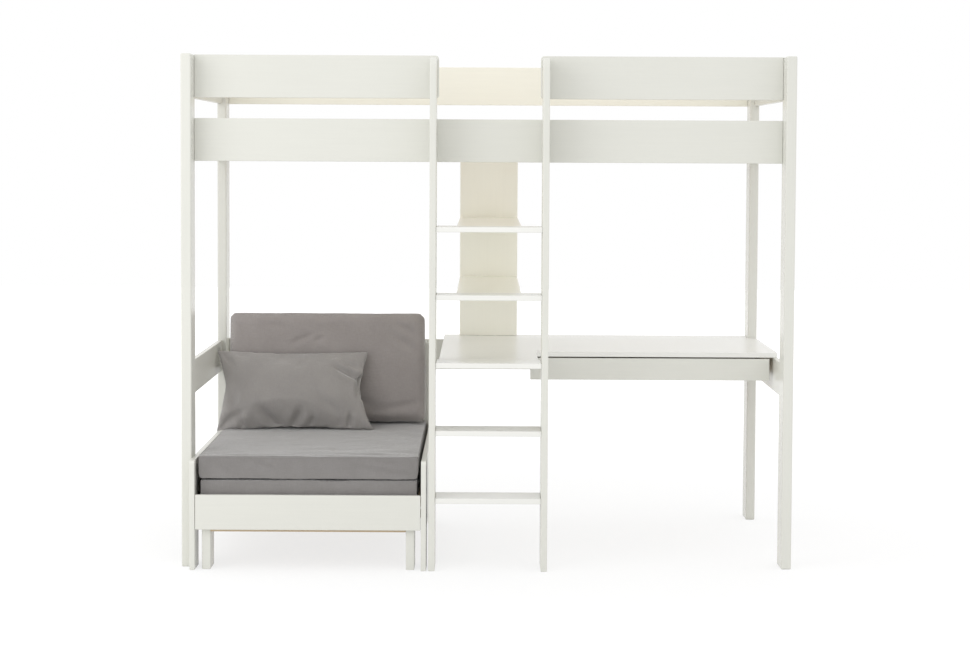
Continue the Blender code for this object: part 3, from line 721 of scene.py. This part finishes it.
def fill_out(piece, frames, pressure, tension, bending, cap, share):
    """Fills a cover by air pressure in a cloth simulation.

    A point keeps a share of its move along each axis, and moves by cap at most.
    """
    before = [vert.co.copy() for vert in piece.data.vertices]
    cloth = piece.modifiers.new("Filling", "CLOTH")
    settings = cloth.settings
    settings.quality = 6
    settings.mass = 0.3
    settings.tension_stiffness = settings.compression_stiffness = tension
    settings.shear_stiffness = tension / 2
    settings.bending_stiffness = bending
    settings.use_pressure = True
    settings.uniform_pressure_force = pressure
    settings.effector_weights.gravity = 0
    cloth.collision_settings.use_collision = False
    cloth.collision_settings.use_self_collision = False
    cloth.point_cache.frame_start, cloth.point_cache.frame_end = 1, frames
    for number in range(1, frames + 1):
        bpy.context.scene.frame_set(number)
    settled = piece.evaluated_get(bpy.context.evaluated_depsgraph_get()).data
    after = [vert.co.copy() for vert in settled.vertices]
    piece.modifiers.remove(cloth)
    for vert, old, new in zip(piece.data.vertices, before, after):
        move = Vector(part * kept for part, kept in zip(new - old, share))
        vert.co = old + move * (cap / max(cap, move.length))
    bpy.context.scene.frame_set(1)


def show_seams(piece):
    """Copies the group Seam to the attribute seam, which the cover's material reads."""
    seams = piece.data.attributes.new("seam", "FLOAT", "POINT").data
    for vert, seam in zip(piece.data.vertices, seams):
        seam.value = sum(group.weight for group in vert.groups)


def subdivide(piece):
    """Splits each cell of a cover into four and rounds it."""
    smooth = piece.modifiers.new("Smooth", "SUBSURF")
    smooth.levels = smooth.render_levels = 1
    deps = bpy.context.evaluated_depsgraph_get()
    piece.data = bpy.data.meshes.new_from_object(piece.evaluated_get(deps))
    piece.modifiers.clear()
    piece.data.shade_smooth()
    show_seams(piece)


def along_normals(piece, offset):
    """Moves each point along its normal by offset(point, seam), where seam is 1 on the sewn edge."""
    mesh = piece.data
    normals = [vert.normal.copy() for vert in mesh.vertices]
    for vert, normal in zip(mesh.vertices, normals):
        seam = sum(group.weight for group in vert.groups)
        vert.co += normal * offset(vert.co, seam)
    mesh.update()


def seam_relief(seam, look):
    """The sewn edge stands out, with a groove on each side of it."""
    if seam > SEAM_START:
        return look.seam_height * (seam - SEAM_START) / (1 - SEAM_START)
    return -look.seam_groove * math.sin(math.pi * seam / SEAM_START)


def ripples(point, height, scale, seed):
    return height * noise.noise(point * scale + Vector((seed, seed * 1.7, -seed)))


def near(distance, reach):
    """1 at no distance, and almost nothing from twice the reach on."""
    return math.exp(-((distance / reach) ** 2))


def fold_relief(point, folds):
    """How far a point of a cover's front is drawn in or pushed out by the folds near it.

    Each fold is (start x, start y, end x, end y, half width, depth), and fades out at both ends.
    """
    if point.z <= 0:
        return 0.0
    total = 0.0
    for start_x, start_y, end_x, end_y, width, depth in folds:
        run = Vector((end_x - start_x, end_y - start_y))
        away = Vector((point.x - start_x, point.y - start_y))
        share = min(max(away.dot(run) / run.length_squared, 0.0), 1.0)
        across = (away - run * share).length / width
        if across < FOLD_REACH:
            fade = math.sin(math.pi * (FOLD_END + (1 - 2 * FOLD_END) * share))
            total -= depth * fade * (near(across, 1) - FOLD_LIP * near(across - FOLD_LIP_PLACE, 1))
    return total


def own_box(piece):
    """The low and the high corner of a piece's own mesh."""
    by_axis = list(zip(*(vert.co for vert in piece.data.vertices)))
    return Vector(map(min, by_axis)), Vector(map(max, by_axis))


def fit_size(piece, size):
    """Centres a piece on the origin and scales it until its box has that size."""
    low, high = own_box(piece)
    stretch = Matrix.Diagonal([wanted / own for wanted, own in zip(size, high - low)]).to_4x4()
    piece.data.transform(stretch @ Matrix.Translation((low + high) / -2))


def shape_outline(piece, size, corner, barrel, slide):
    """Rounds a cover's four corners, narrows it at its top and bottom and slides its top to the left."""
    start_x, start_y = size[0] / 2 - corner, size[1] / 2 - corner
    for vert in piece.data.vertices:
        x, y = vert.co.x, vert.co.y
        past_x, past_y = abs(x) - start_x, abs(y) - start_y
        if past_x > 0 and past_y > 0:
            pull = max(past_x, past_y) / math.hypot(past_x, past_y)
            x = math.copysign(start_x + past_x * pull, x)
            y = math.copysign(start_y + past_y * pull, y)
        up = 2 * y / size[1]
        vert.co.x, vert.co.y = x * (1 - barrel * up * up) - slide * (up + 1) / 2, y


def pull_corners(piece, size, corners, waist):
    """Moves the corners of a cover's outline to other places, and the rest of the cover along with them.

    The waist is how far the left and the right side are drawn in midway.
    """
    low_left, low_right, high_left, high_right = (Vector(corner) for corner in corners)
    for vert in piece.data.vertices:
        across, up = vert.co.x / size[0] + 0.5, vert.co.y / size[1] + 0.5
        low, high = low_left.lerp(low_right, across), high_left.lerp(high_right, across)
        place = low.lerp(high, up)
        midway = 4 * up * (1 - up)
        drawn = waist[0] * (1 - across) ** 3 - waist[1] * across ** 3
        vert.co.x, vert.co.y = place.x + drawn * midway, place.y


def let_sag(piece, height, share):
    """Makes a cover thicker towards its bottom and thinner towards its top, where its filling sank."""
    for vert in piece.data.vertices:
        vert.co.z *= 1 - share * 2 * vert.co.y / height


def hang_ear(piece, start_x, start_y, width, drop):
    """Lets the lower left corner of a cover hang down."""
    for vert in piece.data.vertices:
        out, down = (start_x - vert.co.x) / width, (start_y - vert.co.y) / width
        if out > 0 and down > 0:
            vert.co.y -= drop * min(out, 1.0) * min(down, 1.0)


def stand_in_place(piece, lean, node, sunk=0.0):
    """Stands a flat piece up, leans its top back, and puts it where the node is, or lower by sunk."""
    piece.data.transform(Matrix.Rotation(math.pi / 2 - lean, 4, "X"))
    low, high = (Vector(corner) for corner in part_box(node))
    own_low, own_high = own_box(piece)
    move = (low + high - own_low - own_high) / 2
    move.z = low.z - own_low.z - sunk
    piece.data.transform(Matrix.Translation(move))


def hand_over(piece, body, slot_name, *nodes):
    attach(piece, body)
    if nodes:
        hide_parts(*nodes)


# Places of the fasteners, each with its centre and the way that it faces


def between(box, axis, share=0.5):
    """The place along an axis that lies a share of the way through a box."""
    low, high = box[0][axis], box[1][axis]
    return low + (high - low) * share


def outer_faces(name):
    """The x and the facing of the outer sides of a left and a right board."""
    return (
        (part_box(f"{name}_left")[0][0], (-1, 0, 0)),
        (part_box(f"{name}_right")[1][0], (1, 0, 0)),
    )


def post_places():
    """Two bolts through the post into each end of the rails that are let in between the posts."""
    rails = {
        "front": ("side_rail_front", "guard_front_left"),
        "back": ("side_rail_back", "guard_back", "lower_rail_back"),
    }
    return [
        ((x, between(box, 1), between(box, 2, share)), facing)
        for place, names in rails.items()
        for box in map(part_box, names)
        for x, facing in outer_faces(f"post_{place}")
        for share in BOLT_PAIR
    ]


def ladder_places():
    return [
        ((x, between(box, 1, share), between(box, 2)), facing)
        for box in map(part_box, TREADS)
        for x, facing in outer_faces("ladder_stile")
        for share in CAP_PAIR
    ]


def sofa_places():
    """Caps on the free outer face of the sofa's right side, over its back board and deck bars."""
    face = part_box("sofa_side_right")[1][0]
    board_y = between(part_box("sofa_back_board"), 1)
    low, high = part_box("sofa_slat_deck")
    spots = [(board_y, z) for z in BOARD_CAP_HEIGHTS]
    spots += [(y, low[2] + DECK_CAP_UP) for y in (low[1] + DECK_CAP_IN, high[1] - DECK_CAP_IN)]
    return [((face, y, z), (1, 0, 0)) for y, z in spots]


def slat_places():
    return [
        ((between(box, 0, share), y, box[1][2]), (0, 0, 1))
        for box in map(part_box, BED_SLATS)
        for y in (box[0][1] + SCREW_FRONT, box[1][1] - SCREW_BACK)
        for share in SCREW_PAIR
    ]


# Operators


class LOFTBED_OT_paint_boards(bpy.types.Operator):
    """Gives every painted board its satin paint, with the grain along the board"""

    bl_idname = "loftbed.paint_boards"
    bl_label = "Paint the Boards"

    def execute(self, context):
        look = context.scene.loft_bed.paint
        for along, nodes in PAINTED.items():
            dress(nodes, satin_paint(f"Satin paint, grain {along}", along, look.colour, look))
        # The treads and the desktop take the lighter paint: a painted highlight for the light on their tops.
        dress((*TREADS, "desktop"), satin_paint("Highlit tread satin paint", "X", look.tread_highlight_colour, look))
        # The boards at the back and inside take the lighter, warmer paint: painted light for the warm
        # reflected light in their shade.
        for along, nodes in SHADE_LIFTED_PAINTED.items():
            dress(nodes, satin_paint(f"Shade-lifted satin paint, grain {along}", along, look.shade_lift_colour, look))
        return {"FINISHED"}


class LOFTBED_OT_finish_slats(bpy.types.Operator):
    """Gives the slats, the cleats, the sofa decks and the stretcher their sanded softwood"""

    bl_idname = "loftbed.finish_slats"
    bl_label = "Finish the Slats"

    def execute(self, context):
        look = context.scene.loft_bed.wood
        for along, nodes in BARE_WOOD.items():
            dress(nodes, sanded_wood(f"Sanded softwood, grain {along}", along, look))
        return {"FINISHED"}


class LOFTBED_OT_finish_drawer_box(bpy.types.Operator):
    """Gives the drawer box and its runners their plywood"""

    bl_idname = "loftbed.finish_drawer_box"
    bl_label = "Finish the Drawer Box"

    def execute(self, context):
        look = context.scene.loft_bed.wood
        for stacked, nodes in PLYWOOD.items():
            dress(nodes, drawer_plywood(f"Plywood stacked along {stacked}", stacked, look))
        return {"FINISHED"}


class LOFTBED_OT_make_mattress_layers(bpy.types.Operator):
    """Makes the two sewn layers of the folded sofa mattress"""

    bl_idname = "loftbed.make_mattress_layers"
    bl_label = "Make the Mattress Layers"

    def execute(self, context):
        settings = context.scene.loft_bed
        soft = settings.soft
        cover = woven_cover("Mattress cover", settings.fabric.seat_colour, settings.fabric)
        self.make_layer(
            settings, cover, "mattress_lower", seed=3.0, radii=(soft.fold_round, soft.fold_round), seams=(),
            setback=soft.lower_setback, corner_round=soft.fold_round, top_folds=(), front_folds=(),
        )
        self.make_layer(
            settings, cover, "mattress_upper", seed=8.0, radii=(soft.fold_round, soft.mattress_round),
            seams=(-2,), setback=0.0, corner_round=soft.corner_round,
            top_folds=SEAT_FOLDS, front_folds=SEAT_FRONT_FOLDS,
        )
        return {"FINISHED"}

    def make_layer(
        self, settings, cover, name, seed, radii, seams, setback, corner_round, top_folds, front_folds,
    ):
        low, high = (Vector(corner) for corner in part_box(name))
        low.y += setback
        size = high - low
        crown = settings.soft.mattress_crown
        flat = (size.x, size.y, size.z - 2 * crown)
        layer = cover_grid(name + "_cover", flat, radii, MATTRESS_CELL, cover, seams)
        half = Vector(flat) / 2
        for vert in layer.data.vertices:
            u, v, w = (vert.co[i] / half[i] for i in range(3))
            above = min(vert.co.z + half.z, corner_round)
            drawn_in = corner_round - math.sqrt(corner_round ** 2 - (corner_round - above) ** 2)
            vert.co.x -= math.copysign(drawn_in * abs(u) ** CORNER_POWER, u)
            vert.co.z += crown * (1 - abs(u) ** CROWN_POWER) * (1 - abs(v) ** CROWN_POWER) * w
        subdivide(layer)

        def relief(point, seam):
            rim = min(half.x - abs(point.x), half.y - abs(point.y))
            pucker = ripples(point, height=0.0008, scale=45, seed=seed) * near(rim, 0.05)
            dents = ripples(point, height=0.0016, scale=7, seed=seed + 5) - 0.0012
            wave = ripples(point, height=0.0018, scale=11, seed=seed + 2) * near(half.z - point.z, 0.014)
            sewn = seam_relief(seam, settings.fabric) - settings.fabric.seam_height
            if point.y < SEAT_FRONT - half.y:
                folds = fold_relief(Vector((point.x, point.z, 1)), front_folds)
            else:
                folds = fold_relief(point, top_folds)
            return sewn + pucker + dents + wave + folds

        along_normals(layer, relief)
        fit_size(layer, size)
        layer.data.transform(Matrix.Translation((low + high) / 2))
        hand_over(layer, "frame", "seat_fabric", name)


class LOFTBED_OT_make_back_cushion(bpy.types.Operator):
    """Makes the sofa's back cushion and fills it out"""

    bl_idname = "loftbed.make_back_cushion"
    bl_label = "Make the Back Cushion"

    def execute(self, context):
        settings = context.scene.loft_bed
        soft = settings.soft
        size = (soft.cushion_width, soft.cushion_height, soft.cushion_thickness)
        flat = tuple(full - less for full, less in zip(size, CUSHION_CUT))
        radii = (CUSHION_CUT_ROUND, CUSHION_CUT_ROUND)
        cover = woven_cover("Back cushion cover", settings.fabric.cushion_colour, settings.fabric)
        cushion = cover_grid("back_cushion_cover", flat, radii, CUSHION_CELL, cover, seams=(0, -1))
        fill_out(
            cushion, soft.filling_frames, pressure=4.0, tension=12.0, bending=0.4,
            cap=soft.cushion_cap, share=(0.12, 0.0, 1.0),
        )
        subdivide(cushion)

        def relief(point, seam):
            dents = ripples(point, height=0.0022, scale=9, seed=21.0)
            dents += ripples(point, height=0.0008, scale=24, seed=4.0)
            return seam_relief(seam, settings.fabric) + dents + fold_relief(point, CUSHION_FOLDS)

        fit_size(cushion, size)
        along_normals(cushion, relief)
        shape_outline(cushion, size, soft.cushion_corner, soft.cushion_barrel, soft.cushion_slide)
        stand_in_place(cushion, soft.cushion_lean, "back_cushion")
        hand_over(cushion, "cushion_body", "cushion_fabric", "back_cushion")
        return {"FINISHED"}


class LOFTBED_OT_make_pillow(bpy.types.Operator):
    """Makes the throw pillow from two sheets sewn together, and fills it out"""

    bl_idname = "loftbed.make_pillow"
    bl_label = "Make the Pillow"

    def execute(self, context):
        settings = context.scene.loft_bed
        soft = settings.soft
        size = (soft.pillow_width, soft.pillow_height, soft.pillow_thickness)
        cover = woven_cover("Pillow cover", settings.fabric.pillow_colour, settings.fabric)
        width, height = size[0] * PILLOW_CUT[0], size[1] * PILLOW_CUT[1]
        pillow = envelope_grid("pillow_cover", width, height, PILLOW_CELL, cover)
        fill_out(
            pillow, soft.filling_frames, pressure=3.0, tension=25.0, bending=0.2,
            cap=0.2, share=(1.35, 0.16, 1.0),
        )
        subdivide(pillow)

        def relief(point, seam):
            pucker = ripples(point, height=0.0030, scale=38, seed=12.0) * min(1.0, 4 * seam)
            dents = ripples(point, height=0.0014, scale=16, seed=31.0) * (1 - seam)
            return dents + pucker + fold_relief(point, PILLOW_FOLDS) * (1 - seam)

        fit_size(pillow, size)
        along_normals(pillow, relief)
        let_sag(pillow, size[1], soft.pillow_sag)
        pull_corners(pillow, size, PILLOW_CORNERS, PILLOW_WAIST)
        hang_ear(pillow, *PILLOW_EAR)
        stand_in_place(pillow, soft.pillow_lean, "pillow", PILLOW_TIP_BELOW)
        hand_over(pillow, "pillow_body", "pillow_fabric", "pillow")
        return {"FINISHED"}


class LOFTBED_OT_add_fasteners(bpy.types.Operator):
    """Adds the bolt heads on the posts, the caps on the ladder and the sofa, and the slats' screws"""

    bl_idname = "loftbed.add_fasteners"
    bl_label = "Add the Fasteners"

    def execute(self, context):
        settings = context.scene.loft_bed
        sizes = settings.fasteners
        steel = plated_steel("Plated steel")
        plastic = cap_plastic("Cap plastic", settings.paint)
        bolts = (BOLT_HEAD, sizes.bolt_radius, sizes.bolt_proud)
        caps = (CAP_HEAD, sizes.cap_radius, sizes.cap_proud)
        screws = (BOLT_HEAD, sizes.screw_radius, SCREW_PROUD)
        post_bolts = head_set("post_bolts", *bolts, post_places(), steel, socket=True)
        ladder_caps = head_set("ladder_caps", *caps, ladder_places(), plastic)
        sofa_caps = head_set("sofa_side_caps", *caps, sofa_places(), plastic)
        slat_screws = head_set("slat_screws", *screws, slat_places(), steel, socket=True)
        for piece in (post_bolts, slat_screws):
            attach(piece, "frame")
        for piece in (ladder_caps, sofa_caps):
            hand_over(piece, "frame", "white_paint")
        return {"FINISHED"}


class LOFTBED_OT_build_stage(bpy.types.Operator):
    """Sets up the floor, the surroundings, the lamps and the camera"""

    bl_idname = "loftbed.build_stage"
    bl_label = "Build the Stage"

    def execute(self, context):
        look = context.scene.loft_bed.stage
        self.lay_floor(look)
        self.light_world(context, look)
        key = self.hang_lamp(context, "Key lamp", "AREA", KEY_LAMP_PLACE, look.key_power)
        key.shape, key.size = "SQUARE", KEY_LAMP_SIZE
        front = self.hang_lamp(context, "Front lamp", "SUN", FRONT_LAMP_PLACE, look.front_strength)
        front.angle, front.color = FRONT_LAMP_ANGLE, FRONT_LAMP_TINT
        self.place_camera(context, look)
        context.scene.view_settings.view_transform = "Standard"
        return {"FINISHED"}

    def lay_floor(self, look):
        shape = bmesh.new()
        bmesh.ops.create_grid(shape, x_segments=8, y_segments=8, size=FLOOR_REACH)
        material, shader, place = new_material("Pale floor")
        texture = mottle(place, scale=3.0, detail=2.0)
        tree = material.node_tree
        views = seen_directly(tree)
        away = put(tree, "ShaderNodeVectorMath", {"operation": "LENGTH"}, {0: place}).outputs["Value"]
        lift = ranged(away, look.floor_glow, 1.0, *FLOOR_FADE)
        lit = mixed(texture, rgba(look.floor_colour), shaded(look.floor_colour, 0.99))
        connect(shader, {
            "Base Color": mixed(views, lit, rgba([1 - look.floor_glow] * 3)),
            "Roughness": 1.0,
            "Specular IOR Level": 0.0,
            "Emission Color": (1, 1, 1, 1),
            "Emission Strength": worked_out("MULTIPLY", views, lift),
        })
        new_piece("Floor", shape, material)

    def light_world(self, context, look):
        world = bpy.data.worlds.new("Studio surroundings")
        world.use_nodes = True
        context.scene.world = world
        background = world.node_tree.nodes["Background"]
        background.inputs["Color"].default_value = (1, 1, 1, 1)
        views = seen_directly(world.node_tree)
        connect(background, {"Strength": ranged(views, look.ambient, 1.0, start=0.0, stop=1.0)})

    def hang_lamp(self, context, name, kind, place, power):
        """Adds a lamp that faces the middle of the bed."""
        lamp = bpy.data.lights.new(name, kind)
        lamp.energy = power
        holder = bpy.data.objects.new(name, lamp)
        holder.location = place
        aim = Vector(LAMP_AIM) - Vector(place)
        holder.rotation_euler = aim.to_track_quat("-Z", "Y").to_euler()
        context.scene.collection.objects.link(holder)
        return lamp

    def place_camera(self, context, look):
        lens = bpy.data.cameras.new("Camera")
        lens.lens = look.lens
        lens.sensor_fit = "HORIZONTAL"
        lens.sensor_width = SENSOR_WIDTH
        lens.shift_x, lens.shift_y = look.shift_x, look.shift_y
        lens.clip_start, lens.clip_end = CAMERA_RANGE
        camera = bpy.data.objects.new("Camera", lens)
        camera.location = look.camera_place
        camera.rotation_euler = (math.pi / 2 - look.camera_tilt, look.camera_roll, 0)
        context.scene.collection.objects.link(camera)
        context.scene.camera = camera


class LOFTBED_PT_looks(bpy.types.Panel):
    """Lists the steps that dress the loft bed"""

    bl_idname = "LOFTBED_PT_looks"
    bl_label = "Loft Bed"
    bl_space_type = "VIEW_3D"
    bl_region_type = "UI"
    bl_category = "Loft Bed"

    def draw(self, context):
        for step in STEPS:
            self.layout.operator(step.bl_idname)


STEPS = (
    LOFTBED_OT_paint_boards,
    LOFTBED_OT_finish_slats,
    LOFTBED_OT_finish_drawer_box,
    LOFTBED_OT_make_mattress_layers,
    LOFTBED_OT_make_back_cushion,
    LOFTBED_OT_make_pillow,
    LOFTBED_OT_add_fasteners,
    LOFTBED_OT_build_stage,
)
GROUPS = (PaintLook, WoodLook, FabricLook, SoftSizes, FastenerSizes, StageLook, LoftBedLook)
CLASSES = (*GROUPS, *STEPS, LOFTBED_PT_looks)


def register():
    for made in CLASSES:
        bpy.utils.register_class(made)
    bpy.types.Scene.loft_bed = PointerProperty(
        type=LoftBedLook, name="Loft Bed", description="Sizes and colours of the loft bed's looks",
    )


def unregister():
    del bpy.types.Scene.loft_bed
    for made in reversed(CLASSES):
        bpy.utils.unregister_class(made)


def main():
    register()
    bpy.ops.loftbed.paint_boards()
    bpy.ops.loftbed.finish_slats()
    bpy.ops.loftbed.finish_drawer_box()
    bpy.ops.loftbed.make_mattress_layers()
    bpy.ops.loftbed.make_back_cushion()
    bpy.ops.loftbed.make_pillow()
    bpy.ops.loftbed.add_fasteners()
    bpy.ops.loftbed.build_stage()


if __name__ == "__main__":
    main()
